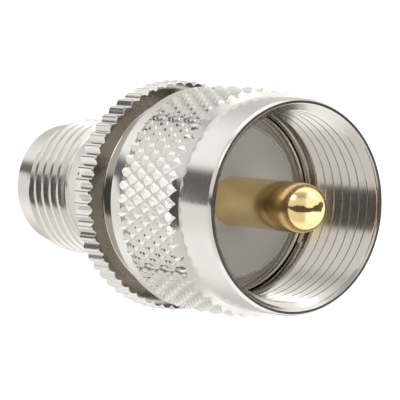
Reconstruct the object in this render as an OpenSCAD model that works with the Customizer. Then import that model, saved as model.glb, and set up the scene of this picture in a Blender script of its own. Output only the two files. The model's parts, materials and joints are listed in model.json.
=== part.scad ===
// Straight coaxial adapter: a plug with a loose coupling nut at one end, a threaded jack at the other.
// The part stands on the jack's end face, with the axis along +Z and the plug's pin on top.

/* [Jack end] */
// Outside diameter of the jack's thread
jack_thread_d = 11.1; // [10.8:0.1:12]
// Length of the threaded stretch
jack_thread_len = 5.3; // [3:0.1:7]
// Distance from one crest of the jack's thread to the next
jack_thread_pitch = 1.06; // [0.85:0.01:1.3]
// Depth of the jack's thread
jack_thread_depth = 0.55; // [0.3:0.05:0.6]
// Share of the pitch that is flat crest
jack_thread_crest = 0.1; // [0.05:0.05:0.25]
// Share of the pitch that is flat groove
jack_thread_root = 0.15; // [0.05:0.05:0.25]
// Height of the thread above the plain barrel behind it
jack_barrel_step = 0.2; // [0.1:0.05:0.35]
// Length of the plain nose at the jack's end
jack_nose_len = 2.45; // [1.5:0.05:4]
// Bevel round the outside of the nose
jack_nose_bevel = 0.1; // [0.05:0.05:0.3]
// Wall of the nose
jack_nose_wall = 0.9; // [0.6:0.05:1]
// Diameter of the jack's mouth
jack_bore_d = 8.1; // [7.4:0.1:8.3]
// Depth of the jack's mouth
jack_bore_depth = 8.6; // [6:0.1:9.5]
// Distance from the jack's end face to the back of the flange
jack_reach = 14.3; // [13:0.1:20]
// Bevel round the edges of the turned shells
edge_bevel = 0.25; // [0.1:0.05:0.35]

/* [Grip flange] */
// How far the flange's teeth stand out beyond the nut's knurl
flange_proud = 0.15; // [0:0.05:1.5]
// Thickness of the flange
flange_thick = 2.1; // [1.5:0.1:3]
// Number of teeth round the flange
flange_teeth = 60; // [40:1:72]
// Depth of the grooves between the teeth
flange_tooth_depth = 0.34; // [0.2:0.02:0.6]
// Share of the pitch that is flat tooth top
flange_tooth_top = 0.2; // [0.1:0.05:0.7]
// Angle that the teeth are turned by about the axis
flange_tooth_turn = -1.5; // [-3:0.5:3]
// Height of the collar above the plug's neck
collar_step = 1.22; // [0.9:0.02:1.7]
// Length of the collar that the nut rests on
collar_len = 2.2; // [1.5:0.1:4]

/* [Plug shell] */
// Gap between the plug's rim and the nut's thread, on the radius
rim_clear = 0.05; // [0.03:0.01:0.2]
// Width of the metal rim round the insulator
rim_width = 1.3; // [1:0.05:1.6]
// Thickness of that rim
rim_thick = 0.85; // [0.6:0.05:1.2]
// Height of the rim above the neck that the nut turns on
rim_step = 0.87; // [0.6:0.01:1.1]
// Height of the neck above the spigot that joins the two shells
spigot_step = 1.33; // [1:0.01:1.7]
// Length of that spigot
spigot_len = 3.7; // [2.5:0.1:4.2]
// Wall of that spigot
spigot_wall = 1.2; // [0.8:0.05:1.8]

/* [Coupling nut] */
// Inside diameter of the nut's thread
nut_thread_d = 14.9; // [14.4:0.1:15.6]
// Depth of the nut's thread and of the plain bores beside it
nut_thread_depth = 0.55; // [0.45:0.01:0.6]
// How far the nut's thread starts in front of the plug's face
nut_thread_inset = 0.55; // [0.2:0.05:1]
// Wall of the nut under the knurl's grooves
nut_wall = 0.62; // [0.5:0.02:1.2]
// Wall of the nut's front band over the floor of the thread
nut_mouth_wall = 0.45; // [0.3:0.05:0.6]
// Width of the rim left at the mouth outside the cone that leads into the thread
nut_mouth_rim = 0.2; // [0.15:0.05:0.4]
// Length of the plain band at the mouth
nut_front_len = 4.1; // [2:0.1:6]
// Length of the knurled stretch
knurl_len = 7.2; // [5:0.1:10]
// Depth of the knurl's grooves
knurl_depth = 0.43; // [0.2:0.01:0.5]
// Number of diamonds round the nut
knurl_count = 51; // [36:1:60]
// Number of half diamonds along the nut
knurl_rows = 7; // [4:1:9]
// Height of the knurl's points above the plain band at the nut's back
nut_back_drop = 0.2; // [0.1:0.05:0.4]
// Length of the plain band at the back
nut_back_len = 1.55; // [1:0.05:2.5]
// Length of the lip that holds the nut on the neck
nut_lip_len = 2.4; // [2:0.05:2.8]
// How far the nut slides along the neck
nut_travel = 1.2; // [0.5:0.1:2]

/* [Retaining ring] */
// Thickness of the split ring along the axis
ring_thick = 0.8; // [0.5:0.05:1]
// Width of the split ring from inside to outside
ring_width = 1.05; // [0.85:0.05:1.2]
// Opening of the split
ring_split = 1.6; // [0.5:0.1:3]

/* [Contacts] */
// Diameter of the plug's pin
pin_d = 3.96; // [3.6:0.02:4.2]
// Reach of the pin beyond the plug's face
pin_reach = 10.7; // [8:0.1:14]
// Step from the pin to the ball at its tip
pin_ball_step = 0.02; // [0.01:0.01:0.1]
// Step from the pin to its shank inside the insulator
pin_shank_step = 0.23; // [0.15:0.01:0.5]
// Diameter of the hole in the jack's socket contact
socket_bore_d = 1.36; // [1.3:0.02:1.5]
// Depth of that hole
socket_bore_depth = 5; // [4.5:0.1:6]
// Wall of the socket contact
socket_wall = 0.42; // [0.3:0.02:0.55]
// Width of the slots that make the contact springy
socket_slot = 0.24; // [0.15:0.01:0.26]
// Length of those slots
socket_slot_len = 3.8; // [2:0.1:4.4]
// Height of the shoulder that traps the socket contact
socket_shoulder_step = 0.6; // [0.4:0.05:0.8]
// Distance from the jack insulator's seat to that shoulder
socket_shoulder_inset = 1.4; // [0.6:0.1:2.4]
// Depth of the joint of pin and socket inside the plug insulator
contact_joint_inset = 1.1; // [0.5:0.1:2]
// Diameter of the screw stud between pin and socket
stud_d = 1.56; // [1.2:0.02:1.8]
// Length of that stud
stud_len = 2.6; // [1.5:0.1:3]
// Spare depth of the tapped hole beyond the stud
stud_hole_spare = 0.3; // [0.1:0.1:0.6]

/* [Insulators] */
// Wall of the jack insulator's core round the socket contact
jack_core_wall = 1.26; // [0.9:0.02:1.4]
// Height of the shoulder that the jack insulator seats on
jack_seat_step = 0.3; // [0.2:0.05:0.5]
// Depth of the insulator's tip inside the jack's mouth
jack_core_inset = 0.35; // [0.1:0.05:1]
// Depth of the socket's tip behind the insulator's tip
socket_inset = 0.3; // [0.1:0.05:0.8]

/* [Clearances] */
// Gap between the nut's lip and the neck, on the radius
nut_clear = 0.07; // [0.03:0.01:0.1]
// Gap round the ring in its two grooves
ring_clear = 0.05; // [0.03:0.01:0.1]
// Gap between pieces that are pushed together, on the radius
seat_clear = 0.02; // [0.01:0.01:0.04]

/* [Hidden] */
$fn = 96;

nickel = [0.80, 0.79, 0.77];
gold = [0.86, 0.66, 0.30];
white_resin = [0.92, 0.91, 0.88];
bronze = [0.72, 0.53, 0.33];

// Diameters of the jack half, from its thread and its mouth
jack_barrel_d = jack_thread_d - 2 * jack_barrel_step;
jack_root_r = jack_thread_d / 2 - jack_thread_depth;
jack_nose_d = jack_bore_d + 2 * jack_nose_wall;
jack_seat_d = jack_bore_d + 2 * jack_seat_step;

// Diameters of the nut, outwards from its thread; the flange follows the knurl
nut_relief_d = nut_thread_d + 2 * nut_thread_depth;
nut_front_d = nut_relief_d + 2 * nut_mouth_wall;
nut_mouth_d = nut_front_d - 2 * nut_mouth_rim;
knurl_root_r = nut_relief_d / 2 + nut_wall;
knurl_d = 2 * (knurl_root_r + knurl_depth);
nut_back_d = knurl_d - 2 * nut_back_drop;
flange_d = knurl_d + 2 * flange_proud;

// Diameters of the plug half, inwards from the nut's thread, which its rim passes through
rim_d = nut_thread_d - 2 * rim_clear;
plug_disc_d = rim_d - 2 * rim_width;
neck_d = rim_d - 2 * rim_step;
collar_d = neck_d + 2 * collar_step;
spigot_d = neck_d - 2 * spigot_step;
plug_core_d = spigot_d - 2 * spigot_wall;

// Diameters of the contacts and of the insulation round the socket
pin_ball_d = pin_d - 2 * pin_ball_step;
pin_shank_d = pin_d - 2 * pin_shank_step;
socket_d = socket_bore_d + 2 * socket_wall;
socket_shoulder_d = socket_d + 2 * socket_shoulder_step;
jack_core_d = socket_d + 2 * jack_core_wall;

// Heights along the axis, from the jack's end face
thread_top = jack_nose_len + jack_thread_len;
flange_front = jack_reach + flange_thick;
collar_front = flange_front + collar_len;
spigot_back = collar_front - spigot_len;

// The nut waits on the collar, and its lip slides up the neck as far as the rim
nut_back = collar_front + ring_clear;
lip_front = nut_back + nut_lip_len;
rim_back = lip_front + nut_travel + ring_clear;
plug_face = rim_back + rim_thick;
knurl_back = nut_back + nut_back_len;
knurl_front = knurl_back + knurl_len;
nut_mouth = knurl_front + nut_front_len;
nut_thread_back = plug_face + nut_thread_inset;
nut_thread_front = nut_mouth - (nut_mouth_d - nut_thread_d) / 2;

// The ring sits in the middle of the lip and slides in a longer groove of the neck
ring_back = nut_back + (nut_lip_len - ring_thick) / 2;
ring_front = ring_back + ring_thick;
neck_groove_r = neck_d / 2 - ring_width / 2;
ring_in_r = neck_groove_r + ring_clear;
ring_out_r = ring_in_r + ring_width;
lip_r = neck_d / 2 + nut_clear;

// The contacts meet where the two insulators do
contact_joint = spigot_back + contact_joint_inset;
core_tip = jack_core_inset;
socket_tip = core_tip + socket_inset;
shoulder_back = jack_bore_depth + socket_shoulder_inset;
pin_tip = plug_face + pin_reach;
ball_z = pin_tip - pin_ball_d / 2;

// Metal under the grooves of the knurl and of the jack's thread that belongs to their own ring
groove_cover = 0.02;

// A solid turned from an outline of [radius, height] points
module turned(outline) {
    rotate_extrude() polygon(outline);
}

// A bore along the axis between two heights
module bore(d, from, to) {
    translate([0, 0, from]) cylinder(d = d, h = to - from);
}

// Outline of a toothed wheel: flat tops with a V groove after each
function tooth_outline(r, depth, count, top) = [
    for (k = [0 : count - 1])
        let (pitch = 360 / count, a = k * pitch)
        for (p = [[r, -top / 2], [r, top / 2], [r - depth, 1 / 2]])
            p[0] * [cos(a + p[1] * pitch), sin(a + p[1] * pitch)]
];

// Rim of the flange, with its two edges bevelled across the teeth
module grip_flange() {
    r = flange_d / 2;
    intersection() {
        linear_extrude(flange_thick)
            rotate(flange_tooth_turn)
                polygon(tooth_outline(r, flange_tooth_depth, flange_teeth, flange_tooth_top));
        turned([
            [0, 0], [r - edge_bevel, 0], [r, edge_bevel],
            [r, flange_thick - edge_bevel], [r - edge_bevel, flange_thick], [0, flange_thick]
        ]);
    }
}

// Ring with a right-handed screw thread outside: four rows of corners for each turn climb round it.
// Corners that pass an end face are replaced by the one corner of their column on that face.
module screw_thread(crest_r, root_r, inner_r, length, pitch, crest, root) {
    columns = 48;
    turns = ceil(length / pitch) + 2;
    shares = [-crest / 2, crest / 2, (1 - root) / 2, (1 + root) / 2];
    radii = [crest_r, crest_r, root_r, root_r];
    function height(i, j) = pitch * (floor(j / 4) + shares[j % 4] + i / columns - 1);
    function from_crest(i, z) = let (p = z / pitch - i / columns) abs(p - round(p));
    function groove(i, z) = (from_crest(i, z) - shares[1]) / (shares[2] - shares[1]);
    function radius(i, z) = crest_r - (crest_r - root_r) * min(max(groove(i, z), 0), 1);
    function ring(k, i) = k * columns + i % columns;
    function row(i, j) = height(i, j) <= 0 ? ring(0, i) : height(i, j) >= length ? ring(1, i) : ring(4 + j, i);
    function at(i, j) = i < columns ? row(i, j) : row(0, j + 4);
    function spot(r, i, z) = [r * cos(i * 360 / columns), r * sin(i * 360 / columns), z];
    ends = [for (z = [0, length], i = [0 : columns - 1]) spot(radius(i, z), i, z)];
    lining = [for (z = [0, length], i = [0 : columns - 1]) spot(inner_r, i, z)];
    grid = [for (j = [0 : 4 * turns + 3], i = [0 : columns - 1]) spot(radii[j % 4], i, height(i, j))];
    flanks = [
        for (j = [0 : 4 * turns - 2], i = [0 : columns - 1])
            for (f = [[at(i, j), at(i + 1, j + 1), at(i + 1, j)], [at(i, j), at(i, j + 1), at(i + 1, j + 1)]])
                if (f[0] != f[1] && f[1] != f[2] && f[2] != f[0]) f
    ];
    closing = [
        for (i = [0 : columns - 1])
            each [
                [ring(0, i), ring(0, i + 1), ring(2, i + 1), ring(2, i)],
                [ring(1, i + 1), ring(1, i), ring(3, i), ring(3, i + 1)],
                [ring(2, i), ring(2, i + 1), ring(3, i + 1), ring(3, i)]
            ]
    ];
    polyhedron(concat(ends, lining, grid), concat(flanks, closing));
}

// Jack half: nose, threaded barrel, toothed flange and collar, turned from one bar
module jack_shell() {
    core_r = jack_root_r - groove_cover;
    color(nickel) difference() {
        union() {
            turned([
                [0, 0], [jack_nose_d / 2 - jack_nose_bevel, 0], [jack_nose_d / 2, jack_nose_bevel],
                [jack_nose_d / 2, jack_nose_len], [core_r, jack_nose_len],
                [core_r, thread_top], [jack_barrel_d / 2, thread_top],
                [jack_barrel_d / 2, flange_front], [collar_d / 2, flange_front],
                [collar_d / 2, collar_front - edge_bevel],
                [collar_d / 2 - edge_bevel, collar_front], [0, collar_front]
            ]);
            translate([0, 0, jack_nose_len])
                screw_thread(
                    jack_thread_d / 2, jack_root_r, core_r - jack_thread_depth / 2,
                    jack_thread_len, jack_thread_pitch, jack_thread_crest, jack_thread_root
                );
            translate([0, 0, jack_reach]) grip_flange();
        }
        bore(jack_bore_d, -1, jack_bore_depth + 1);
        bore(jack_seat_d, jack_bore_depth, spigot_back + 1);
        bore(spigot_d + 2 * seat_clear, spigot_back, collar_front + 1);
        // Lead-in at the mouth
        translate([0, 0, -edge_bevel])
            cylinder(d1 = jack_bore_d + 4 * edge_bevel, d2 = jack_bore_d, h = 2 * edge_bevel);
    }
}

// Plug half: spigot, neck with the ring's groove, and the rim round the insulator
module plug_shell() {
    color(nickel) difference() {
        turned([
            [0, spigot_back], [spigot_d / 2 - edge_bevel, spigot_back],
            [spigot_d / 2, spigot_back + edge_bevel], [spigot_d / 2, collar_front],
            [neck_d / 2, collar_front], [neck_d / 2, ring_back - ring_clear],
            [neck_groove_r, ring_back - ring_clear],
            [neck_groove_r, ring_front + nut_travel + ring_clear],
            [neck_d / 2, ring_front + nut_travel + ring_clear],
            [neck_d / 2, rim_back], [rim_d / 2, rim_back],
            [rim_d / 2, plug_face - edge_bevel], [rim_d / 2 - edge_bevel, plug_face],
            [0, plug_face]
        ]);
        bore(plug_core_d + 2 * seat_clear, spigot_back - 1, plug_face);
        bore(plug_disc_d + 2 * seat_clear, rim_back, plug_face + 1);
    }
}

// Ring of diamond points: groove crossings and points alternate over a grid round the nut.
// Each square of the grid is split along the line that joins its two groove crossings.
module diamond_knurl(root_r, point_r, inner_r, length, count, rows) {
    steps = 2 * count;
    function at(i, j) = j * steps + i % steps;
    function inner(i, j) = (rows + 1 + j) * steps + i % steps;
    grid = [
        for (j = [0 : rows], i = [0 : steps - 1])
            let (r = (i + j) % 2 == 0 ? point_r : root_r, a = i * 360 / steps)
            [r * cos(a), r * sin(a), j * length / rows]
    ];
    lining = [
        for (z = [0, length], i = [0 : steps - 1])
            let (a = i * 360 / steps)
            [inner_r * cos(a), inner_r * sin(a), z]
    ];
    diamonds = [
        for (j = [0 : rows - 1], i = [0 : steps - 1])
            each (i + j) % 2 == 1
                ? [[at(i, j), at(i + 1, j + 1), at(i + 1, j)], [at(i, j), at(i, j + 1), at(i + 1, j + 1)]]
                : [[at(i, j), at(i, j + 1), at(i + 1, j)], [at(i + 1, j), at(i, j + 1), at(i + 1, j + 1)]]
    ];
    ends = [
        for (i = [0 : steps - 1])
            each [
                [at(i, 0), at(i + 1, 0), inner(i + 1, 0), inner(i, 0)],
                [at(i + 1, rows), at(i, rows), inner(i, 1), inner(i + 1, 1)],
                [inner(i, 0), inner(i + 1, 0), inner(i + 1, 1), inner(i, 1)]
            ]
    ];
    polyhedron(concat(grid, lining), concat(diamonds, ends));
}

// Coupling nut: plain bands, diamond knurl, threaded bore and the lip that turns on the neck
module coupling_nut() {
    core_r = knurl_root_r - groove_cover;
    color(nickel) difference() {
        union() {
            turned([
                [0, nut_back], [nut_back_d / 2 - edge_bevel, nut_back],
                [nut_back_d / 2, nut_back + edge_bevel], [nut_back_d / 2, knurl_back],
                [core_r, knurl_back], [core_r, knurl_front], [nut_front_d / 2, knurl_front],
                [nut_front_d / 2, nut_mouth - edge_bevel / 2],
                [nut_front_d / 2 - edge_bevel / 2, nut_mouth], [0, nut_mouth]
            ]);
            translate([0, 0, knurl_back])
                diamond_knurl(
                    knurl_root_r, knurl_d / 2, core_r - knurl_depth / 2,
                    knurl_len, knurl_count, knurl_rows
                );
        }
        bore(2 * lip_r, nut_back - 1, lip_front + 1);
        bore(2 * (ring_out_r + ring_clear), ring_back - ring_clear, ring_front + ring_clear);
        bore(nut_relief_d, lip_front, nut_thread_back);
        bore(nut_thread_d, lip_front, nut_mouth + 1);
        // Cone that leads into the thread, carried on past the mouth
        translate([0, 0, nut_thread_front])
            cylinder(d1 = nut_thread_d, d2 = nut_mouth_d + 2, h = nut_mouth + 1 - nut_thread_front);
    }
}

// Split spring ring that keeps the nut on the neck
module retaining_ring() {
    color(bronze) difference() {
        bore(2 * ring_out_r, ring_back, ring_front);
        bore(2 * ring_in_r, ring_back - 1, ring_front + 1);
        translate([0, -ring_split / 2, ring_back - 1])
            cube([2 * ring_out_r, ring_split, ring_thick + 2]);
    }
}

// Plug insulator: a stepped bush whose disc shows round the pin
module plug_insulator() {
    color(white_resin) difference() {
        turned([
            [0, spigot_back], [plug_core_d / 2, spigot_back], [plug_core_d / 2, rim_back],
            [plug_disc_d / 2, rim_back], [plug_disc_d / 2, plug_face], [0, plug_face]
        ]);
        bore(pin_shank_d + 2 * seat_clear, contact_joint, plug_face + 1);
        bore(socket_shoulder_d + 2 * seat_clear, spigot_back - 1, contact_joint + 1);
    }
}

// Jack insulator: a bush clamped between the shells, with a slim core that reaches down the mouth
module jack_insulator() {
    color(white_resin) difference() {
        turned([
            [0, core_tip], [jack_core_d / 2, core_tip], [jack_core_d / 2, jack_bore_depth],
            [jack_seat_d / 2 - seat_clear, jack_bore_depth],
            [jack_seat_d / 2 - seat_clear, spigot_back], [0, spigot_back]
        ]);
        bore(socket_d + 2 * seat_clear, core_tip - 1, shoulder_back + 1);
        bore(socket_shoulder_d + 2 * seat_clear, shoulder_back, spigot_back + 1);
    }
}

// Plug pin: a solid pin with a ball tip, drawn down on the insulator by its screw stud
module plug_pin() {
    color(gold) union() {
        turned([
            [0, contact_joint - stud_len], [stud_d / 2, contact_joint - stud_len],
            [stud_d / 2, contact_joint], [pin_shank_d / 2, contact_joint],
            [pin_shank_d / 2, plug_face], [pin_d / 2, plug_face],
            [pin_d / 2, ball_z - pin_ball_step], [pin_ball_d / 2, ball_z], [0, ball_z]
        ]);
        translate([0, 0, ball_z]) sphere(d = pin_ball_d);
    }
}

// Socket contact: a slotted tube with a shoulder, tapped at the back for the pin's stud
module jack_socket() {
    color(gold) difference() {
        turned([
            [0, socket_tip], [socket_d / 2, socket_tip], [socket_d / 2, shoulder_back],
            [socket_shoulder_d / 2, shoulder_back], [socket_shoulder_d / 2, contact_joint],
            [0, contact_joint]
        ]);
        bore(socket_bore_d, socket_tip - 1, socket_tip + socket_bore_depth);
        bore(stud_d + 2 * seat_clear, contact_joint - stud_len - stud_hole_spare, contact_joint + 1);
        for (turn = [0, 90])
            rotate(turn) translate([-socket_d, -socket_slot / 2, socket_tip - 1])
                cube([2 * socket_d, socket_slot, socket_slot_len + 1]);
    }
}

jack_shell();
plug_shell();
coupling_nut();
retaining_ring();
plug_insulator();
jack_insulator();
plug_pin();
jack_socket();
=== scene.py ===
import json
import math

import bmesh
import bpy
from mathutils import Matrix, Vector


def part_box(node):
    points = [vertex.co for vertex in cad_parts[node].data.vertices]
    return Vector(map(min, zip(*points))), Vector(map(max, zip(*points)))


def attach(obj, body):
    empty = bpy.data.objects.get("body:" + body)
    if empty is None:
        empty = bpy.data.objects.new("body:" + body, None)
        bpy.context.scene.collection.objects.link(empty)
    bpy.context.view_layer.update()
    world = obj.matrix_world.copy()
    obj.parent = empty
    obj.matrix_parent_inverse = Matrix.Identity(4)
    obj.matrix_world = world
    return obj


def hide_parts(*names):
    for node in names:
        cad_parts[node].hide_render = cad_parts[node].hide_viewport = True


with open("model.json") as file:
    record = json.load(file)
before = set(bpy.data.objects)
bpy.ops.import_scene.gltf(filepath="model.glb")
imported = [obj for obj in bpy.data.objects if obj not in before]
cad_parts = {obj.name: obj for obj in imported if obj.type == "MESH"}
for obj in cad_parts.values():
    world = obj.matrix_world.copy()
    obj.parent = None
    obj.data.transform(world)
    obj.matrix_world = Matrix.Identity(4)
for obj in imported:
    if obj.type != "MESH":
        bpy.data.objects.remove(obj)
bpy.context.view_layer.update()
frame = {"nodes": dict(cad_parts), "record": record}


# Jack shell: the half of the body with the threaded jack, the toothed grip flange and the collar.
# It is brass, turned from one bar, with a rolled screw thread and milled teeth, and it is plated
# with bright nickel.
mm = 0.001
mounts = {mount["name"]: mount["dims"] for mount in frame["record"]["mounts"]}
weld_gap = 0.002 * mm
crisp_angle = math.radians(32)
corner_steps, longest_reach = 4, 0.49
noise_low, noise_high = 0.3, 0.7
fine_streaks, streak_detail, cloud_detail = 2.7, 1.5, 3.0


def maths(tree, operation, *values):
    """Add a Math node to a tree; each value is a number or another node's socket."""
    node = tree.nodes.new("ShaderNodeMath")
    node.operation = operation
    for socket, value in zip(node.inputs, values):
        if isinstance(value, bpy.types.NodeSocket):
            tree.links.new(value, socket)
        else:
            socket.default_value = value
    return node.outputs[0]


def spread(tree, value, low, high):
    """Spread a noise value, which stays near its middle, over the range from low to high."""
    node = tree.nodes.new("ShaderNodeMapRange")
    node.interpolation_type = "SMOOTHSTEP"
    tree.links.new(value, node.inputs["Value"])
    limits = {"From Min": noise_low, "From Max": noise_high, "To Min": low, "To Max": high}
    for label, number in limits.items():
        node.inputs[label].default_value = number
    return node.outputs["Result"]


def place_about_axis(group):
    """Each surface point's three coordinates and its distance from the adapter's axis."""
    place = group.nodes.new("ShaderNodeTexCoord").outputs["Object"]
    part = group.nodes.new("ShaderNodeSeparateXYZ")
    group.links.new(place, part.inputs[0])
    x, y = part.outputs[0], part.outputs[1]
    square = maths(group, "MULTIPLY_ADD", y, y, maths(group, "MULTIPLY", x, x))
    return part.outputs, maths(group, "SQRT", square)


def turning_marks():
    """Shader group: short streaks left by the lathe, round the axis on walls and on faces alike."""
    group = bpy.data.node_groups.new("turning_marks", "ShaderNodeTree")
    for label in ("Line Spacing", "Streak Length"):
        group.interface.new_socket(label, in_out="INPUT", socket_type="NodeSocketFloat")
    for label in ("Streak", "Fine Streak"):
        group.interface.new_socket(label, in_out="OUTPUT", socket_type="NodeSocketFloat")
    given = group.nodes.new("NodeGroupInput").outputs
    result = group.nodes.new("NodeGroupOutput").inputs
    part, from_axis = place_about_axis(group)
    across = maths(group, "DIVIDE", maths(group, "ADD", part[2], from_axis), given["Line Spacing"])
    stretched = group.nodes.new("ShaderNodeCombineXYZ")
    for axis in (0, 1):
        along = maths(group, "DIVIDE", part[axis], given["Streak Length"])
        group.links.new(along, stretched.inputs[axis])
    group.links.new(across, stretched.inputs[2])
    for label, scale in (("Streak", 1.0), ("Fine Streak", fine_streaks)):
        noise = group.nodes.new("ShaderNodeTexNoise")
        noise.inputs["Scale"].default_value = scale
        noise.inputs["Detail"].default_value = streak_detail
        group.links.new(stretched.outputs[0], noise.inputs["Vector"])
        group.links.new(noise.outputs["Fac"], result[label])
    return group


def soft_clouds():
    """Shader group: a slow, cloudy change over a surface, as in plating or turned resin."""
    group = bpy.data.node_groups.new("soft_clouds", "ShaderNodeTree")
    group.interface.new_socket("Size", in_out="INPUT", socket_type="NodeSocketFloat")
    group.interface.new_socket("Cloud", in_out="OUTPUT", socket_type="NodeSocketFloat")
    given = group.nodes.new("NodeGroupInput").outputs
    result = group.nodes.new("NodeGroupOutput").inputs
    place = group.nodes.new("ShaderNodeTexCoord").outputs["Object"]
    noise = group.nodes.new("ShaderNodeTexNoise")
    noise.inputs["Detail"].default_value = cloud_detail
    group.links.new(place, noise.inputs["Vector"])
    group.links.new(maths(group, "DIVIDE", 1.0, given["Size"]), noise.inputs["Scale"])
    group.links.new(noise.outputs["Fac"], result["Cloud"])
    return group


def hollow():
    """Shader group: a mask that is 1 inside a radius, between two heights along the axis."""
    group = bpy.data.node_groups.new("hollow", "ShaderNodeTree")
    for label in ("Low", "High", "Radius"):
        group.interface.new_socket(label, in_out="INPUT", socket_type="NodeSocketFloat")
    group.interface.new_socket("Mask", in_out="OUTPUT", socket_type="NodeSocketFloat")
    given = group.nodes.new("NodeGroupInput").outputs
    result = group.nodes.new("NodeGroupOutput").inputs
    part, from_axis = place_about_axis(group)
    above = maths(group, "GREATER_THAN", part[2], given["Low"])
    below = maths(group, "LESS_THAN", part[2], given["High"])
    inside = maths(group, "LESS_THAN", from_axis, given["Radius"])
    between = maths(group, "MULTIPLY", above, below)
    group.links.new(maths(group, "MULTIPLY", between, inside), result["Mask"])
    return group


marks_group = turning_marks()
clouds_group = soft_clouds()
hollow_group = hollow()


def finish(name, tint, shade, rough, metal, spacing, streak, cloud, depth):
    """A surface finish: cloudy colour from tint to shade, with turning marks in gloss and relief."""
    material = bpy.data.materials.new(name)
    material.use_nodes = True
    tree = material.node_tree
    shader = tree.nodes["Principled BSDF"]
    shader.inputs["Metallic"].default_value = metal
    marks = tree.nodes.new("ShaderNodeGroup")
    marks.node_tree = marks_group
    marks.inputs["Line Spacing"].default_value = spacing * mm
    marks.inputs["Streak Length"].default_value = streak * mm
    clouds = tree.nodes.new("ShaderNodeGroup")
    clouds.node_tree = clouds_group
    clouds.inputs["Size"].default_value = cloud * mm
    colours = tree.nodes.new("ShaderNodeMix")
    colours.data_type = "RGBA"
    colours.inputs["A"].default_value = (*tint, 1)
    colours.inputs["B"].default_value = (*shade, 1)
    tree.links.new(spread(tree, clouds.outputs["Cloud"], 0, 1), colours.inputs["Factor"])
    tree.links.new(colours.outputs["Result"], shader.inputs["Base Color"])
    tree.links.new(spread(tree, marks.outputs["Fine Streak"], *rough), shader.inputs["Roughness"])
    relief = tree.nodes.new("ShaderNodeBump")
    relief.inputs["Distance"].default_value = depth * mm
    tree.links.new(marks.outputs["Streak"], relief.inputs["Height"])
    tree.links.new(relief.outputs["Normal"], shader.inputs["Normal"])
    return material


def paint_shade(material, low, high, radius, colour, rough):
    """Paint shade into a finish inside a radius, between two heights: its colour is multiplied darker
    there as painted shade, and its roughness is raised a little.
    """
    tree = material.node_tree
    shader = tree.nodes["Principled BSDF"]
    place = tree.nodes.new("ShaderNodeGroup")
    place.node_tree = hollow_group
    for label, size in (("Low", low), ("High", high), ("Radius", radius)):
        place.inputs[label].default_value = size * mm
    # Painted shade: inside the mask the base colour is multiplied by a darker colour
    darker = tree.nodes.new("ShaderNodeMix")
    darker.data_type = "RGBA"
    darker.blend_type = "MULTIPLY"
    darker.inputs["B"].default_value = (*colour, 1)
    tree.links.new(place.outputs["Mask"], darker.inputs["Factor"])
    tree.links.new(shader.inputs["Base Color"].links[0].from_socket, darker.inputs["A"])
    tree.links.new(darker.outputs["Result"], shader.inputs["Base Color"])
    plain_rough = shader.inputs["Roughness"].links[0].from_socket
    rougher = maths(tree, "MULTIPLY_ADD", place.outputs["Mask"], rough, plain_rough)
    tree.links.new(rougher, shader.inputs["Roughness"])


nickel = finish(
    "bright_nickel", tint=(0.75, 0.735, 0.71), shade=(0.70, 0.68, 0.65), rough=(0.09, 0.17), metal=1.0,
    spacing=0.16, streak=1.6, cloud=6.0, depth=0.0012,
)


def rounded(outline, closed=False):
    """Points of an outline of (radius, height, fillet) corners, each fillet drawn as a short curve."""
    count = len(outline)
    points = []
    for k, (radius, height, fillet) in enumerate(outline):
        corner = Vector((radius, height))
        if fillet == 0 or (not closed and k in (0, count - 1)):
            points.append(corner)
            continue
        to_last = Vector(outline[k - 1][:2]) - corner
        to_next = Vector(outline[(k + 1) % count][:2]) - corner
        half_turn = to_last.angle(to_next) / 2
        # A fillet takes less than half of the side to the next corner
        room_for = longest_reach * min(to_last.length, to_next.length)
        reach = min(fillet / math.tan(half_turn), room_for)
        start = corner + to_last.normalized() * reach
        end = corner + to_next.normalized() * reach
        for step in range(corner_steps + 1):
            share = step / corner_steps
            points.append(start.lerp(corner, share).lerp(corner.lerp(end, share), share))
    if closed:
        points.append(points[0])
    return points


def about_axis(radius, angle, height):
    """A point's coordinates in metres, from its radius, angle and height, with lengths in millimetres."""
    return radius * math.cos(angle) * mm, radius * math.sin(angle) * mm, height * mm


def turn(bm, points, columns):
    """Turn (radius, height) points in millimetres about the axis and add the surface to bm."""
    rings = []
    for radius, height in points:
        if radius < weld_gap / mm:
            rings.append([bm.verts.new((0, 0, height * mm))] * columns)
            continue
        ring = []
        for k in range(columns):
            ring.append(bm.verts.new(about_axis(radius, math.tau * k / columns, height)))
        rings.append(ring)
    for lower, upper in zip(rings, rings[1:]):
        for k in range(columns):
            after = (k + 1) % columns
            corners = dict.fromkeys((lower[k], lower[after], upper[after], upper[k]))
            bm.faces.new(list(corners))


def piece_from(bm, name, material):
    """Make an object at the origin from bm, with its finish."""
    mesh = bpy.data.meshes.new(name)
    bm.to_mesh(mesh)
    bm.free()
    mesh.materials.append(material)
    piece = bpy.data.objects.new(name, mesh)
    bpy.context.scene.collection.objects.link(piece)
    return piece


def bake(piece):
    """Turn what a piece's modifiers make into its own plain mesh."""
    bpy.context.view_layer.update()
    seen = piece.evaluated_get(bpy.context.evaluated_depsgraph_get())
    made = bpy.data.meshes.new_from_object(seen)
    piece.modifiers.clear()
    piece.data = made
    made.name = piece.name


def settle(piece):
    """Weld a piece's seams, turn its faces outwards and shade it smooth between crisp edges."""
    bm = bmesh.new()
    bm.from_mesh(piece.data)
    bmesh.ops.remove_doubles(bm, verts=bm.verts, dist=weld_gap)
    bmesh.ops.recalc_face_normals(bm, faces=bm.faces)
    bm.to_mesh(piece.data)
    bm.free()
    piece.data.shade_smooth()
    piece.data.set_sharp_from_angle(angle=crisp_angle)
    even = piece.modifiers.new("even_shading", "WEIGHTED_NORMAL")
    even.keep_sharp = True
    bake(piece)


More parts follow.
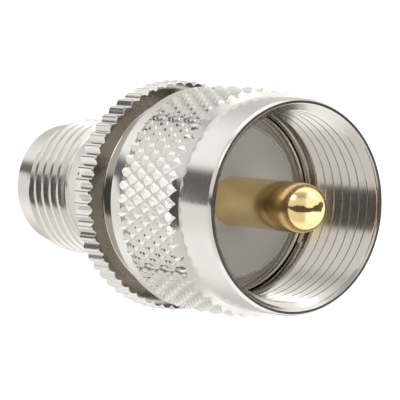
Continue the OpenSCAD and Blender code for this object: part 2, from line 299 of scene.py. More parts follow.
def new_tree(name, inputs):
    """Start a Geometry Nodes tree with named inputs and a finish; return it and its input sockets."""
    tree = bpy.data.node_groups.new(name, "GeometryNodeTree")
    for label, kind in (("Piece", "Geometry"), *inputs, ("Finish", "Material")):
        tree.interface.new_socket(label, in_out="INPUT", socket_type="NodeSocket" + kind)
    tree.interface.new_socket("Piece", in_out="OUTPUT", socket_type="NodeSocketGeometry")
    return tree, tree.nodes.new("NodeGroupInput").outputs


def end_tree(tree, given, shapes):
    """Join the shapes, realize instances, weld them, set the finish and close the tree."""
    joined = tree.nodes.new("GeometryNodeJoinGeometry")
    for shape in shapes:
        tree.links.new(shape, joined.inputs[0])
    realized = tree.nodes.new("GeometryNodeRealizeInstances")
    welded = tree.nodes.new("GeometryNodeMergeByDistance")
    welded.inputs["Distance"].default_value = weld_gap
    painted = tree.nodes.new("GeometryNodeSetMaterial")
    result = tree.nodes.new("NodeGroupOutput")
    tree.links.new(joined.outputs[0], realized.inputs[0])
    tree.links.new(realized.outputs[0], welded.inputs[0])
    tree.links.new(welded.outputs[0], painted.inputs["Geometry"])
    tree.links.new(given["Finish"], painted.inputs["Material"])
    tree.links.new(painted.outputs[0], result.inputs[0])


def shape_with(piece, tree, **values):
    """Give a piece a tree's modifier, with the inputs set by name, and bake it."""
    modifier = piece.modifiers.new(tree.name, "NODES")
    modifier.node_group = tree
    for item in tree.interface.items_tree:
        label = item.name.lower().replace(" ", "_")
        if item.in_out == "INPUT" and label in values:
            modifier[item.identifier] = values[label]
    bake(piece)


def unit_grid(tree, across, up):
    """A grid over the unit square; return its mesh and each point's share across and up."""
    grid = tree.nodes.new("GeometryNodeMeshGrid")
    # One point more than cells, and a quarter so that the count isn't cut down to the number below
    one_more = 1.25
    for label, cells in (("Vertices X", across), ("Vertices Y", up)):
        tree.links.new(maths(tree, "ADD", cells, one_more), grid.inputs[label])
    for label in ("Size X", "Size Y"):
        grid.inputs[label].default_value = 1.0
    place = tree.nodes.new("GeometryNodeInputPosition")
    part = tree.nodes.new("ShaderNodeSeparateXYZ")
    tree.links.new(place.outputs[0], part.inputs[0])
    shares = [maths(tree, "ADD", part.outputs[axis], 0.5) for axis in (0, 1)]
    return grid.outputs["Mesh"], *shares


def wrap(tree, mesh, radius, turns, height):
    """Move a grid's points to a radius, a share of a turn and a height about the axis."""
    angle = maths(tree, "MULTIPLY", turns, math.tau)
    place = tree.nodes.new("ShaderNodeCombineXYZ")
    tree.links.new(maths(tree, "MULTIPLY", radius, maths(tree, "COSINE", angle)), place.inputs[0])
    tree.links.new(maths(tree, "MULTIPLY", radius, maths(tree, "SINE", angle)), place.inputs[1])
    tree.links.new(height, place.inputs[2])
    moved = tree.nodes.new("GeometryNodeSetPosition")
    tree.links.new(mesh, moved.inputs["Geometry"])
    tree.links.new(place.outputs[0], moved.inputs["Position"])
    return moved.outputs[0]


def round_array():
    """Geometry Nodes: copies of the piece in a ring about the axis."""
    tree, given = new_tree("round_array", [("Count", "Int")])
    points = tree.nodes.new("GeometryNodePoints")
    tree.links.new(given["Count"], points.inputs["Count"])
    index = tree.nodes.new("GeometryNodeInputIndex")
    step = maths(tree, "DIVIDE", math.tau, given["Count"])
    heading = tree.nodes.new("ShaderNodeCombineXYZ")
    tree.links.new(maths(tree, "MULTIPLY", index.outputs[0], step), heading.inputs[2])
    rotation = tree.nodes.new("FunctionNodeEulerToRotation")
    tree.links.new(heading.outputs[0], rotation.inputs[0])
    copies = tree.nodes.new("GeometryNodeInstanceOnPoints")
    tree.links.new(points.outputs[0], copies.inputs["Points"])
    tree.links.new(given["Piece"], copies.inputs["Instance"])
    tree.links.new(rotation.outputs[0], copies.inputs["Rotation"])
    end_tree(tree, given, [copies.outputs[0]])
    return tree


def screw_thread():
    """Geometry Nodes: a right-handed thread whose grid lines run along the helix.

    A positive depth cuts inwards from the crest, a negative one outwards, as in a nut. At either end
    a bevel from the groove's floor cuts the thread, or it fades to a level, a share of its depth.
    """
    tree, given = new_tree("screw_thread", [
        ("Columns", "Int"), ("Rows per Turn", "Int"),
        ("Pitch", "Float"), ("Start", "Float"), ("End", "Float"), ("Crest Radius", "Float"),
        ("Depth", "Float"), ("Crest Share", "Float"), ("Root Share", "Float"),
        ("Start Bevel", "Float"), ("Start Fade", "Float"), ("Start Level", "Float"),
        ("End Bevel", "Float"), ("End Fade", "Float"), ("End Level", "Float"), ("Phase", "Float"),
    ])
    length = maths(tree, "SUBTRACT", given["End"], given["Start"])
    turns = maths(tree, "ADD", maths(tree, "CEIL", maths(tree, "DIVIDE", length, given["Pitch"])), 1)
    rows = maths(tree, "MULTIPLY", turns, given["Rows per Turn"])
    mesh, around, up = unit_grid(tree, given["Columns"], rows)
    # Height along the helix, held between the two ends
    wound = maths(tree, "MULTIPLY", up, turns)
    winding = maths(tree, "ADD", wound, maths(tree, "SUBTRACT", around, 1))
    shifted = maths(tree, "ADD", winding, given["Phase"])
    free = maths(tree, "MULTIPLY_ADD", shifted, given["Pitch"], given["Start"])
    height = maths(tree, "MINIMUM", maths(tree, "MAXIMUM", free, given["Start"]), given["End"])
    # Groove from 0 on the crest to 1 on the floor, with a flat on each
    climbed = maths(tree, "SUBTRACT", height, given["Start"])
    lead = maths(tree, "DIVIDE", climbed, given["Pitch"])
    phase = maths(tree, "SUBTRACT", maths(tree, "SUBTRACT", lead, around), given["Phase"])
    wave = maths(tree, "MULTIPLY", maths(tree, "PINGPONG", phase, 0.5), 2)
    below_crest = maths(tree, "SUBTRACT", 1, given["Crest Share"])
    flank = maths(tree, "SUBTRACT", below_crest, given["Root Share"])
    groove = maths(tree, "DIVIDE", maths(tree, "SUBTRACT", wave, given["Crest Share"]), flank)
    groove = maths(tree, "MINIMUM", maths(tree, "MAXIMUM", groove, 0), 1)
    # Bevel and fade at each end
    left = maths(tree, "SUBTRACT", given["End"], height)
    for end, run in (("Start", climbed), ("End", left)):
        bevel = maths(tree, "SUBTRACT", 1, maths(tree, "DIVIDE", run, given[end + " Bevel"]))
        groove = maths(tree, "MAXIMUM", groove, bevel)
        kept = maths(tree, "MINIMUM", maths(tree, "DIVIDE", run, given[end + " Fade"]), 1)
        change = maths(tree, "SUBTRACT", groove, given[end + " Level"])
        groove = maths(tree, "MULTIPLY_ADD", change, kept, given[end + " Level"])
    cut = maths(tree, "MULTIPLY", groove, given["Depth"])
    radius = maths(tree, "SUBTRACT", given["Crest Radius"], cut)
    end_tree(tree, given, [given["Piece"], wrap(tree, mesh, radius, around, height)])
    return tree


def flange_tooth(rim_r, floor_r, inner_r, back, front, bevels, count, turned):
    """One tooth of the grip flange with half a groove on each side; cones bevel its two ends."""
    bm = bmesh.new()
    # Share of half the pitch and share of the tooth's depth, from the groove's floor to the flat top
    half_tooth = [(1.0, 1.0), (0.94, 0.97), (0.55, 0.5), (0.24, 0.06), (0.14, 0.0)]
    profile = [(-side, drop) for side, drop in half_tooth] + [(0.0, 0.0)] + half_tooth[::-1]
    least_cut = 0.03
    rows = []
    for k, (side, drop) in enumerate(profile):
        outer_r = rim_r - drop * (rim_r - floor_r)
        even_side = 2 * k / (len(profile) - 1) - 1
        back_cut, front_cut = (max(outer_r - (rim_r - bevel), least_cut) for bevel in bevels)
        stations = [
            (inner_r, back, even_side), (outer_r - back_cut, back, side),
            (outer_r, back + back_cut, side), (outer_r, front - front_cut, side),
            (outer_r - front_cut, front, side), (inner_r, front, even_side),
        ]
        row = []
        for radius, height, share in stations:
            angle = share * math.pi / count + turned
            row.append(bm.verts.new(about_axis(radius, angle, height)))
        rows.append(row)
    for left, right in zip(rows, rows[1:]):
        for k in range(len(left) - 1):
            bm.faces.new((left[k], left[k + 1], right[k + 1], right[k]))
    return bm


# Sizes of the jack shell in millimetres, upwards from its end face
edge_bevel, edge_fillet, fine_fillet = 0.25, 0.1, 0.05
jack_columns = 480
tooth_count, tooth_turn, tooth_bevels = 60, math.radians(-1.5), (0.15, 0.13)
nose_r, nose_len, nose_bevel = 4.95, 2.45, 0.1
mouth_r, mouth_depth, mouth_fillet = 4.05, 8.6, 0.06
seat_r, spigot_hole_r, spigot_back = 4.35, 5.22, 14.9
barrel_r, barrel_back = 5.3, 7.75
shank_r, shank_back, shank_fillet, flare_fillet = 5.6, 9.4, 0.15, 0.3
flange_r, tooth_depth, flange_web_r = 9.2, 0.34, 8.6
flange_back, flange_front = 14.3, 16.4
collar_r, collar_front = 7.75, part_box("jack_shell")[1].z / mm
collar_fillet = 0.12
jack_crest_r = mounts["jack_thread"]["r_mm"]
jack_thread_depth, jack_thread_pitch = 0.55, 1.06
jack_crest_share, jack_root_share = 0.28, 0.1
jack_lead_in, jack_run_out = 0.15, 0.6
thread_rows = 16

array_tree = round_array()
thread_tree = screw_thread()
# Painted shade: the colour is darkened in the channel in front of the flange, standing in for its shade
# and dark reflections, and a little on the jack's barrel, which tones down its highlights
mask_margin = 0.02
channel_low, channel_high = flange_front - 0.01, collar_front + 0.1
paint_shade(nickel, channel_low, channel_high, flange_r, colour=(0.92, 0.90, 0.88), rough=0.0)
paint_shade(nickel, 0, flange_back, jack_crest_r + mask_margin, colour=(0.98, 0.965, 0.95), rough=0.03)

tooth_mesh = flange_tooth(
    flange_r, flange_r - tooth_depth, flange_web_r, flange_back, flange_front,
    tooth_bevels, tooth_count, tooth_turn,
)
teeth = piece_from(tooth_mesh, "flange_teeth", nickel)
shape_with(teeth, array_tree, count=tooth_count, finish=nickel)

jack_bm = bmesh.new()
turn(jack_bm, rounded([
    (jack_crest_r - jack_thread_depth, nose_len, 0), (nose_r, nose_len, 0),
    (nose_r, nose_bevel, fine_fillet), (nose_r - nose_bevel, 0, fine_fillet),
    (mouth_r + edge_bevel, 0, mouth_fillet), (mouth_r, edge_bevel, mouth_fillet),
    (mouth_r, mouth_depth, 0), (seat_r, mouth_depth, 0),
    (seat_r, spigot_back, 0), (spigot_hole_r, spigot_back, 0),
    (spigot_hole_r, collar_front, fine_fillet), (collar_r - edge_bevel, collar_front, edge_fillet),
    (collar_r, collar_front - edge_bevel, edge_fillet), (collar_r, flange_front, collar_fillet),
    (flange_web_r, flange_front, 0),
]), jack_columns)
turn(jack_bm, rounded([
    (flange_web_r, flange_back, 0), (shank_r, flange_back, shank_fillet),
    (shank_r, shank_back, flare_fillet), (barrel_r, barrel_back, 0),
]), jack_columns)
jack_bm.from_mesh(teeth.data)
bpy.data.objects.remove(teeth)

jack_shell = piece_from(jack_bm, "jack_shell_turned", nickel)
shape_with(
    jack_shell, thread_tree, columns=jack_columns, rows_per_turn=thread_rows,
    pitch=jack_thread_pitch * mm, start=nose_len * mm, end=barrel_back * mm,
    crest_radius=jack_crest_r * mm, depth=jack_thread_depth * mm,
    crest_share=jack_crest_share, root_share=jack_root_share,
    start_bevel=jack_lead_in * mm, start_fade=weld_gap, start_level=1.0,
    end_bevel=weld_gap, end_fade=jack_run_out * mm,
    end_level=(jack_crest_r - barrel_r) / jack_thread_depth, phase=0.0, finish=nickel,
)
settle(jack_shell)
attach(jack_shell, "shell")
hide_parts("jack_shell")


# Jack insulator: the white bush that holds the socket contact in the middle of the jack.
# It is turned from a resin rod and clamped between the two halves of the body.
resin = finish(
    "white_resin", tint=(0.93, 0.925, 0.91), shade=(0.90, 0.89, 0.87), rough=(0.38, 0.5), metal=0.0,
    spacing=0.12, streak=2.5, cloud=2.5, depth=0.003,
)
insulator_columns = 128
socket_hole_r, shoulder_hole_r = 1.12, 1.72
core_r, core_tip = 2.36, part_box("jack_insulator")[0].z / mm
core_fillet = 0.12
shell_clear = 0.02
bush_r = seat_r - shell_clear
shoulder_back = 10.0


def turned_piece(name, outline, columns, material, closed=True):
    """A piece turned from one outline, with its seams welded and its edges crisp."""
    bm = bmesh.new()
    turn(bm, rounded(outline, closed), columns)
    piece = piece_from(bm, name, material)
    settle(piece)
    return piece


jack_insulator = turned_piece("jack_insulator_bush", [
    (socket_hole_r, core_tip, fine_fillet), (core_r, core_tip, core_fillet),
    (core_r, mouth_depth, fine_fillet), (bush_r, mouth_depth, fine_fillet),
    (bush_r, spigot_back, fine_fillet), (shoulder_hole_r, spigot_back, 0),
    (shoulder_hole_r, shoulder_back, 0), (socket_hole_r, shoulder_back, 0),
], insulator_columns, resin)
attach(jack_insulator, "shell")
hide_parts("jack_insulator")


# Socket contact: the slotted tube that grips the centre pin of the mating plug.
# It is spring brass plated with gold, with four fingers sawn into its tip, and it is screwed to the
# plug's pin.
gold = finish(
    "polished_gold", tint=(0.95, 0.75, 0.40), shade=(0.89, 0.67, 0.32), rough=(0.08, 0.15), metal=1.0,
    spacing=0.14, streak=1.2, cloud=1.5, depth=0.001,
)
socket_columns = 96
socket_low, socket_high = (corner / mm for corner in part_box("jack_socket"))
socket_bore_r = mounts["jack_socket"]["r_mm"]
socket_floor = socket_low.z + mounts["jack_socket"]["length_mm"]
socket_r, shoulder_r = 1.1, socket_high.x
finger_inner_fillet, finger_outer_fillet = 0.08, 0.15
stud_hole_r, stud_hole_back = 0.8, 13.1
slot_width, slot_len = 0.24, 3.8

socket_bm = bmesh.new()
turn(socket_bm, rounded([
    (0, socket_floor, 0), (socket_bore_r, socket_floor, 0),
    (socket_bore_r, socket_low.z, finger_inner_fillet), (socket_r, socket_low.z, finger_outer_fillet),
    (socket_r, shoulder_back, 0), (shoulder_r, shoulder_back, fine_fillet),
    (shoulder_r, socket_high.z, fine_fillet), (stud_hole_r, socket_high.z, 0),
    (stud_hole_r, stud_hole_back, 0), (0, stud_hole_back, 0),
]), socket_columns)
jack_socket = piece_from(socket_bm, "jack_socket_contact", gold)
settle(jack_socket)
# Two saw cuts across the tip leave the four fingers
for quarter in range(2):
    slot_bm = bmesh.new()
    bmesh.ops.create_cube(slot_bm, size=1)
    slot_size = Matrix.Diagonal((4 * socket_r * mm, slot_width * mm, 2 * slot_len * mm, 1))
    slot_turn = Matrix.Rotation(quarter * math.pi / 2, 4, "Z")
    slot_place = Matrix.Translation((0, 0, socket_low.z * mm)) @ slot_turn
    bmesh.ops.transform(slot_bm, matrix=slot_place @ slot_size, verts=slot_bm.verts)
    saw = piece_from(slot_bm, "slot_saw", gold)
    cut = jack_socket.modifiers.new("slot", "BOOLEAN")
    cut.solver = "EXACT"
    cut.object = saw
    bake(jack_socket)
    bpy.data.objects.remove(saw)
settle(jack_socket)
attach(jack_socket, "shell")
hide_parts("jack_socket")


# Plug insulator: the pale disc that shows round the pin, with a core that runs back through the neck.
# It is turned from the same resin rod as the jack's bush and sits in the plug's rim.
plug_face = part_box("plug_insulator")[1].z / mm
disc_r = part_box("plug_insulator")[1].x / mm
disc_fillet = 0.06
rim_back, plug_core_r = 22.3, 4.0
contact_joint, stem_hole_r = 16.0, 1.77

plug_insulator = turned_piece("plug_insulator_disc", [
    (shoulder_hole_r, spigot_back, 0), (plug_core_r, spigot_back, fine_fillet),
    (plug_core_r, rim_back, 0), (disc_r, rim_back, fine_fillet),
    (disc_r, plug_face, disc_fillet), (stem_hole_r, plug_face, 0),
    (stem_hole_r, contact_joint, 0), (shoulder_hole_r, contact_joint, 0),
], insulator_columns, resin)
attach(plug_insulator, "shell")
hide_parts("plug_insulator")


# Pin: the centre contact of the plug, a solid rod with a ball tip and a screw stud at its back.
# It is turned brass with polished gold plate, drawn down on the insulator by the stud.
pin_columns = 128
pin_r = mounts["plug_pin"]["r_mm"]
pin_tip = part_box("plug_pin")[1].z / mm
stud_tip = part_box("plug_pin")[0].z / mm
taper, taper_len = 0.02, 0.4
ball_r, stem_r, stud_r = pin_r - taper, 1.75, 0.78
ball_z = pin_tip - ball_r
ball_steps = 24

ball = []
for step in range(1, ball_steps + 1):
    angle = math.pi / 2 * step / ball_steps
    ball.append((ball_r * math.cos(angle), ball_z + ball_r * math.sin(angle), 0))
pin_outline = [
    (0, stud_tip, 0), (stud_r, stud_tip, edge_fillet), (stud_r, contact_joint, 0),
    (stem_r, contact_joint, 0), (stem_r, plug_face, 0), (pin_r, plug_face, 0),
    (pin_r, ball_z - taper_len, 0), (ball_r, ball_z, 0),
]
plug_pin = turned_piece("plug_pin_gold", pin_outline + ball, pin_columns, gold, closed=False)
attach(plug_pin, "shell")
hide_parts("plug_pin")


# Plug shell: the half of the body inside the nut, with a rim round the insulator and a neck on which
# the nut turns. It is turned brass with nickel plate, screwed into the jack shell by its spigot.
shell_columns = 256
spigot_r, neck_r, rim_r = 5.2, 6.53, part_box("plug_shell")[1].x / mm
groove_r, groove_back, groove_front = 6.005, 19.4, 21.5
core_hole_r, disc_seat_r = plug_core_r + shell_clear, disc_r + shell_clear

plug_shell = turned_piece("plug_shell_turned", [
    (core_hole_r, spigot_back, 0), (spigot_r - edge_bevel, spigot_back, edge_fillet),
    (spigot_r, spigot_back + edge_bevel, edge_fillet), (spigot_r, collar_front, 0),
    (neck_r, collar_front, fine_fillet), (neck_r, groove_back, fine_fillet),
    (groove_r, groove_back, fine_fillet), (groove_r, groove_front, fine_fillet),
    (neck_r, groove_front, fine_fillet), (neck_r, rim_back, fine_fillet),
    (rim_r, rim_back, fine_fillet), (rim_r, plug_face - edge_bevel, edge_fillet),
    (rim_r - edge_bevel, plug_face, edge_fillet), (disc_seat_r, plug_face, fine_fillet),
    (disc_seat_r, rim_back, 0), (core_hole_r, rim_back, 0),
], shell_columns, nickel)
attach(plug_shell, "shell")
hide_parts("plug_shell")


# Retaining ring: the split spring ring that keeps the nut on, half in the neck's groove and half in
# the nut's. It is a plain bronze wire of square section, sprung into place, so the solid's own shape
# stays.
bronze = finish(
    "spring_bronze", tint=(0.74, 0.55, 0.35), shade=(0.64, 0.45, 0.27), rough=(0.25, 0.42), metal=1.0,
    spacing=0.1, streak=2.0, cloud=1.2, depth=0.003,
)
retaining_ring = frame["nodes"]["retaining_ring"]
retaining_ring.data.materials.clear()
retaining_ring.data.materials.append(bronze)


# Coupling nut: the loose sleeve that screws on the mating receptacle, with a diamond knurl for the
# fingers. It is turned brass with a rolled knurl and a cut inner thread, plated with bright nickel.
def diamond_knurl():
    """Geometry Nodes: a sleeve of diamond points between two crossing families of grooves."""
    tree, given = new_tree("diamond_knurl", [
        ("Count", "Int"), ("Half Rows", "Int"), ("Cells", "Int"), ("Leaning Cells", "Int"),
        ("Start", "Float"), ("Length", "Float"), ("Groove Radius", "Float"), ("Depth", "Float"),
        ("Groove Flat", "Float"), ("Swell", "Float"),
        ("Back Radius", "Float"), ("Front Radius", "Float"), ("Front Slope", "Float"),
    ])
    half_steps = maths(tree, "MULTIPLY", given["Count"], 2)
    rows = maths(tree, "MULTIPLY", given["Half Rows"], given["Cells"])
    # Two rows close the back end and one closes the front end, at the height of the row beside them
    back_ends, front_ends = 2, 1
    all_rows = maths(tree, "ADD", rows, back_ends + front_ends)
    mesh, around, up = unit_grid(tree, maths(tree, "MULTIPLY", half_steps, given["Cells"]), all_rows)
    row = maths(tree, "MULTIPLY", up, all_rows)
    past_back = maths(tree, "MAXIMUM", maths(tree, "SUBTRACT", row, back_ends), 0)
    inner_row = maths(tree, "MINIMUM", past_back, rows)
    along = maths(tree, "DIVIDE", inner_row, given["Cells"])
    aside = maths(tree, "MULTIPLY_ADD", around, half_steps, 1)
    rising = maths(tree, "PINGPONG", maths(tree, "SUBTRACT", aside, along), 1)
    falling = maths(tree, "PINGPONG", maths(tree, "ADD", aside, along), 1)
    # A pyramid in each diamond, its four sides a little swollen, with a narrow flat along the grooves
    inwards = maths(tree, "SUBTRACT", maths(tree, "MINIMUM", rising, falling), given["Groove Flat"])
    climb = maths(tree, "DIVIDE", inwards, maths(tree, "SUBTRACT", 1, given["Groove Flat"]))
    climb = maths(tree, "MAXIMUM", climb, 0)
    swollen = maths(tree, "MULTIPLY_ADD", maths(tree, "SUBTRACT", 1, climb), given["Swell"], 1)
    point = maths(tree, "MULTIPLY", climb, swollen)
    knurl_r = maths(tree, "MULTIPLY_ADD", point, given["Depth"], given["Groove Radius"])
    # The rows that close the ends step down to the bands; each limit lies halfway between two rows
    proud = maths(tree, "MAXIMUM", knurl_r, given["Back Radius"])
    last_limit = maths(tree, "SUBTRACT", all_rows, 0.5)
    radius = knurl_r
    for limit, test, level in (
        (1.5, "LESS_THAN", proud), (0.5, "LESS_THAN", given["Back Radius"]),
        (last_limit, "GREATER_THAN", given["Front Radius"]),
    ):
        here = maths(tree, test, row, limit)
        radius = maths(tree, "MULTIPLY_ADD", here, maths(tree, "SUBTRACT", level, radius), radius)
    share = maths(tree, "DIVIDE", inner_row, rows)
    height = maths(tree, "MULTIPLY_ADD", share, given["Length"], given["Start"])
    # The front end leans back from its foot, more and more over the last cells
    upright = maths(tree, "SUBTRACT", rows, given["Leaning Cells"])
    leaning = maths(tree, "DIVIDE", maths(tree, "SUBTRACT", inner_row, upright), given["Leaning Cells"])
    lean = maths(tree, "MULTIPLY", maths(tree, "MAXIMUM", leaning, 0), given["Front Slope"])
    over_foot = maths(tree, "SUBTRACT", radius, given["Front Radius"])
    height = maths(tree, "SUBTRACT", height, maths(tree, "MULTIPLY", lean, over_foot))
    # Each square is split along the groove that crosses it
    split = tree.nodes.new("GeometryNodeTriangulate")
    split.quad_method = "SHORTEST_DIAGONAL"
    tree.links.new(wrap(tree, mesh, radius, around, height), split.inputs["Mesh"])
    end_tree(tree, given, [given["Piece"], split.outputs[0]])
    return tree


knurl_count, knurl_half_rows, knurl_cells, leaning_cells = 51, 7, 4, 4
nut_columns = 2 * knurl_count * knurl_cells
nut_back, nut_mouth = (corner.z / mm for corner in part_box("coupling_nut"))
back_band_r, back_band_len, back_bevel = 8.85, 1.55, 0.28
front_band_r, front_band_len = 8.45, 4.1
knurl_groove_r, knurl_depth = 8.62, 0.43
knurl_groove_flat, knurl_swell, knurl_front_slope = 0.05, 0.5, 0.75
knurl_back, knurl_front = nut_back + back_band_len, nut_mouth - front_band_len
knurl_shoulder_r = knurl_groove_r + knurl_depth / 2
knurl_cone_back = knurl_back - (back_band_r - knurl_shoulder_r)
lip_r, lip_front, lip_fillet = 6.6, 21.05, 0.06
ring_groove_r, ring_groove_back, ring_groove_front = 7.155, 19.4, 20.3
nut_crest_r, nut_thread_depth, nut_thread_pitch = mounts["nut_thread"]["r_mm"], 0.55, 1.058
nut_crest_share, nut_root_share = 0.1, 0.08
nut_thread_inset, nut_run_out, nut_thread_turn = 0.55, 0.8, 0.196
nut_bore_r = nut_crest_r + nut_thread_depth
mouth_bevel, mouth_bevel_len, mouth_rim, mouth_cone_fillet = 0.12, 0.32, 0.37, 0.03
mouth_cone_r = front_band_r - mouth_rim
nut_thread_back = plug_face + nut_thread_inset
nut_thread_front = nut_mouth - (mouth_cone_r - nut_bore_r)
# Painted shade: the colour is darkened on the nut's back face and over its inside, standing in for the
# shade in the gap behind the nut and in its cavity
nut_inside_back = collar_front + 0.4
paint_shade(
    nickel, nut_back - mask_margin, nut_back + mask_margin, back_band_r,
    colour=(0.58, 0.57, 0.55), rough=0.04,
)
paint_shade(
    nickel, nut_inside_back, nut_mouth - mask_margin, mouth_cone_r,
    colour=(0.90, 0.88, 0.86), rough=0.02,
)

nut_bm = bmesh.new()
turn(nut_bm, rounded([
    (knurl_shoulder_r, knurl_back, 0), (back_band_r, knurl_cone_back, 0),
    (back_band_r, nut_back + back_bevel, edge_fillet), (back_band_r - back_bevel, nut_back, edge_fillet),
    (lip_r, nut_back, lip_fillet), (lip_r, ring_groove_back, 0),
    (ring_groove_r, ring_groove_back, 0), (ring_groove_r, ring_groove_front, 0),
    (lip_r, ring_groove_front, 0), (lip_r, lip_front, fine_fillet),
    (nut_bore_r, lip_front, fine_fillet), (nut_bore_r, rim_back, 0),
    (nut_crest_r, rim_back, fine_fillet), (nut_crest_r, nut_thread_back, 0),
]), nut_columns)
turn(nut_bm, rounded([
    (nut_bore_r, nut_thread_front, 0), (mouth_cone_r, nut_mouth, mouth_cone_fillet),
    (front_band_r - mouth_bevel, nut_mouth, fine_fillet),
    (front_band_r, nut_mouth - mouth_bevel_len, fine_fillet), (front_band_r, knurl_front, 0),
]), nut_columns)
coupling_nut = piece_from(nut_bm, "coupling_nut_knurled", nickel)
shape_with(
    coupling_nut, diamond_knurl(), count=knurl_count, half_rows=knurl_half_rows, cells=knurl_cells,
    leaning_cells=leaning_cells, start=knurl_back * mm, length=(knurl_front - knurl_back) * mm,
    groove_radius=knurl_groove_r * mm, depth=knurl_depth * mm, groove_flat=knurl_groove_flat,
    swell=knurl_swell, back_radius=knurl_shoulder_r * mm, front_radius=front_band_r * mm,
    front_slope=knurl_front_slope, finish=nickel,
)
shape_with(
    coupling_nut, thread_tree, columns=nut_columns, rows_per_turn=thread_rows,
    pitch=nut_thread_pitch * mm, start=nut_thread_back * mm, end=nut_thread_front * mm,
    crest_radius=nut_crest_r * mm, depth=-nut_thread_depth * mm,
    crest_share=nut_crest_share, root_share=nut_root_share,
    start_bevel=weld_gap, start_fade=nut_run_out * mm, start_level=0.0,
    end_bevel=nut_thread_depth * mm, end_fade=weld_gap, end_level=1.0,
    phase=nut_thread_turn, finish=nickel,
)
settle(coupling_nut)
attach(coupling_nut, "nut")
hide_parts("coupling_nut")


# Table: a plain white sheet under the adapter, which keeps a faint shadow of it.
# Bright metal shows the studio round it instead of the sheet.
table_half, table_drop = 1.5, 0.01 * mm
sheet_colour, sheet_rough, sheet_glow = (0.62, 0.62, 0.62), 0.9, 0.7
table_bm = bmesh.new()
bmesh.ops.create_grid(table_bm, x_segments=1, y_segments=1, size=table_half)
bmesh.ops.translate(table_bm, verts=table_bm.verts, vec=(0, 0, -table_drop))
white_sheet = bpy.data.materials.new("white_sheet")
white_sheet.use_nodes = True
sheet_tree = white_sheet.node_tree
sheet_shader = sheet_tree.nodes["Principled BSDF"]
sheet_shader.inputs["Base Color"].default_value = (*sheet_colour, 1)
sheet_shader.inputs["Roughness"].default_value = sheet_rough
sheet_shader.inputs["Specular IOR Level"].default_value = 0.0
sheet_shader.inputs["Emission Color"].default_value = (1, 1, 1, 1)
sheet_path = sheet_tree.nodes.new("ShaderNodeLightPath")
seen_glow = maths(sheet_tree, "MULTIPLY", sheet_path.outputs["Is Camera Ray"], sheet_glow)
sheet_tree.links.new(seen_glow, sheet_shader.inputs["Emission Strength"])
table = piece_from(table_bm, "table_sheet", white_sheet)
table.visible_glossy = False


# Studio: white walls all round, with one dark gap at the camera's side, between the overhead light and
# the table, which gives the metal its dark bands. The adapter is lit as if it lay on its side, so the
# light's up is -Y.
view_turn, view_tilt = math.radians(36.48), math.radians(3.5)
view_up = Vector((0, -math.cos(view_tilt), -math.sin(view_tilt)))
view_back = Vector((
    math.sin(view_turn),
    -math.sin(view_tilt) * math.cos(view_turn),
    math.cos(view_tilt) * math.cos(view_turn),
))
view_right = view_up.cross(view_back)

studio = bpy.data.worlds.new("studio")
studio.use_nodes = True
bpy.context.scene.world = studio
room = studio.node_tree
direction = room.nodes.new("ShaderNodeTexCoord").outputs["Generated"]


def facing(towards):
    """Cosine between the direction looked in and a fixed direction."""
    node = room.nodes.new("ShaderNodeVectorMath")
    node.operation = "DOT_PRODUCT"
    room.links.new(direction, node.inputs[0])
    node.inputs[1].default_value = towards
    return node.outputs["Value"]


def ramp(value, start, end, low=0.0, high=1.0):
    """A smooth change from low to high as a value goes from start to end."""
    node = room.nodes.new("ShaderNodeMapRange")
    node.interpolation_type = "SMOOTHSTEP"
    limits = {"Value": value, "From Min": start, "From Max": end, "To Min": low, "To Max": high}
    for label, number in limits.items():
        if isinstance(number, bpy.types.NodeSocket):
            room.links.new(number, node.inputs[label])
        else:
            node.inputs[label].default_value = number
    return node.outputs["Result"]


def blend(factor, first, second):
    """Mix two colours, each a colour or another node's socket, by a factor."""
    node = room.nodes.new("ShaderNodeMix")
    node.data_type = "RGBA"
    room.links.new(factor, node.inputs["Factor"])
    for label, colour in (("A", first), ("B", second)):
        if isinstance(colour, bpy.types.NodeSocket):
            room.links.new(colour, node.inputs[label])
        else:
            node.inputs[label].default_value = (*colour, 1)
    return node.outputs["Result"]


# How far a direction points upwards, away from the camera and to the picture's right
lift = facing((0, -1, 0))
behind = facing((-math.sin(view_turn), 0, -math.cos(view_turn)))
aside = facing((-math.cos(view_turn), 0, math.sin(view_turn)))
at_left = maths(room, "MULTIPLY", ramp(aside, -0.3, -0.7), ramp(behind, 0.1, -0.3))
before_mouth = maths(room, "MULTIPLY", ramp(aside, 0.1, 0.5), ramp(aside, 0.93, 0.75))
to_right = ramp(aside, 0.2, 0.5)

# The table's edge, below the dark gap
left_rise, table_soft = 0.1, 0.03
near_edge = ramp(behind, -0.9, -0.2, low=-0.32, high=-0.05)
far_edge = ramp(behind, 0.26, 0.4, high=0.2)
right_edge = ramp(aside, 0.75, 0.93, high=-0.15)
table_edge = maths(room, "ADD", maths(room, "ADD", near_edge, far_edge), right_edge)
table_edge = maths(room, "MULTIPLY_ADD", at_left, left_rise, table_edge)
above_table = ramp(maths(room, "SUBTRACT", lift, table_edge), 0.0, table_soft)

# The overhead light's edge, above the gap
left_drop, mouth_drop = -0.14, -0.15
light_edge = ramp(behind, -0.2, 0.2, low=0.2, high=0.29)
light_edge = maths(room, "MULTIPLY_ADD", at_left, left_drop, light_edge)
light_edge = maths(room, "MULTIPLY_ADD", before_mouth, mouth_drop, light_edge)
light_soft = ramp(aside, -0.5, 0.0, low=0.12, high=0.04)
below_light = ramp(maths(room, "SUBTRACT", lift, light_edge), 0.0, light_soft, low=1.0, high=0.0)
at_front = ramp(behind, 0.48, 0.62, low=1.0, high=0.0)
gap = maths(room, "MULTIPLY", maths(room, "MULTIPLY", above_table, below_light), at_front)

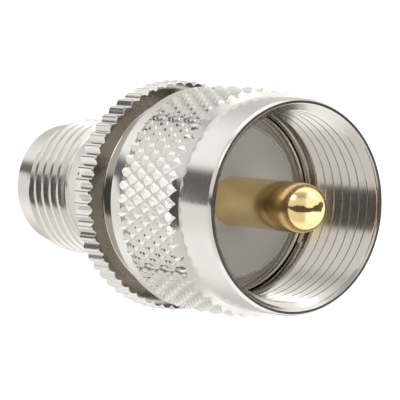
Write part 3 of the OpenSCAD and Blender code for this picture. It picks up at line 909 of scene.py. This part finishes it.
# The table's brightness
near_floor, far_floor, low_floor = (0.84, 0.82, 0.79), (0.94, 0.92, 0.88), (1.16, 1.14, 1.11)
right_floor, under_floor = (1.6, 1.58, 1.55), (1.3, 1.29, 1.27)
back_floor = blend(ramp(lift, -0.1, -0.5), far_floor, low_floor)
floor = blend(ramp(behind, -0.6, 0.1), near_floor, back_floor)
floor = blend(to_right, floor, right_floor)
straight_down = maths(room, "MULTIPLY", ramp(lift, -0.6, -0.85), ramp(behind, -0.5, 0.0))
floor = blend(straight_down, floor, under_floor)

# The ceiling's brightness
low_ceiling, high_ceiling = (0.88, 0.86, 0.83), (0.50, 0.49, 0.48)
back_ceiling, right_ceiling, overhead_light = (1.15, 1.14, 1.12), (1.3, 1.29, 1.27), (1.4, 1.39, 1.37)
ceiling = blend(ramp(lift, 0.66, 0.78), low_ceiling, high_ceiling)
ceiling = blend(ramp(behind, -0.6, 0.5), ceiling, back_ceiling)
ceiling = blend(to_right, ceiling, right_ceiling)
overhead = maths(room, "MULTIPLY", ramp(lift, 0.75, 0.92), ramp(behind, -0.25, 0.0))
ceiling = blend(overhead, ceiling, overhead_light)

# The wall behind the adapter, and the gap
back_wall, near_gap, far_gap = (0.74, 0.725, 0.70), (0.10, 0.095, 0.09), (0.16, 0.155, 0.15)
surroundings = blend(ramp(lift, -0.2, 0.2), floor, ceiling)
surroundings = blend(ramp(behind, 0.52, 0.85), surroundings, back_wall)
gap_colour = blend(ramp(behind, -0.3, 0.3), near_gap, far_gap)
surroundings = blend(gap, surroundings, gap_colour)

# Two upright windows overhead, one to the left in front and one to the right: where each one is, as
# shares to the right, up and back towards the camera, then half its width and half its height
windows = ((-0.53, 0.70, 0.48, 0.2, 0.2), (0.62, 0.76, 0.18, 0.12, 0.2))
window_glow, window_soft = (2.8, 2.8, 2.8), 0.04
for right, up, back, half_width, half_height in windows:
    middle = (view_right * right + view_up * up + view_back * back).normalized()
    across = middle.cross(view_up).normalized()
    window = ramp(facing(middle), 0.5, 0.6)
    for side, half_size in ((across, half_width), (across.cross(middle), half_height)):
        off_middle = maths(room, "ABSOLUTE", facing(side))
        window = maths(room, "MULTIPLY", window, ramp(off_middle, half_size, half_size - window_soft))
    surroundings = blend(window, surroundings, window_glow)

# The camera sees plain white
light_path = room.nodes.new("ShaderNodeLightPath").outputs
seen_plain = maths(room, "MAXIMUM", light_path["Is Camera Ray"], light_path["Is Transmission Ray"])
backdrop = blend(seen_plain, surroundings, (1, 1, 1))
room.links.new(backdrop, room.nodes["Background"].inputs["Color"])
bpy.context.scene.view_settings.view_transform = "Standard"


# Camera: a long lens that looks down on the nut's mouth from 36 degrees off the axis, rolled so that
# the axis lies across the picture, as in the photograph.
picture_px, sensor_mm = 400, 36
focal_px = 4262
mouth_right, mouth_down, distance = 7.57, 0.58, 329.5
camera_data = bpy.data.cameras.new("camera")
camera_data.sensor_width = sensor_mm
camera_data.lens = focal_px / picture_px * sensor_mm
camera = bpy.data.objects.new("camera", camera_data)
bpy.context.scene.collection.objects.link(camera)
stand = Vector((0, 0, nut_mouth)) - view_right * mouth_right
stand = stand + view_up * mouth_down + view_back * distance
turned_to = Matrix((view_right, view_up, view_back)).transposed().to_4x4()
camera.matrix_world = Matrix.Translation(stand * mm) @ turned_to
bpy.context.scene.camera = camera
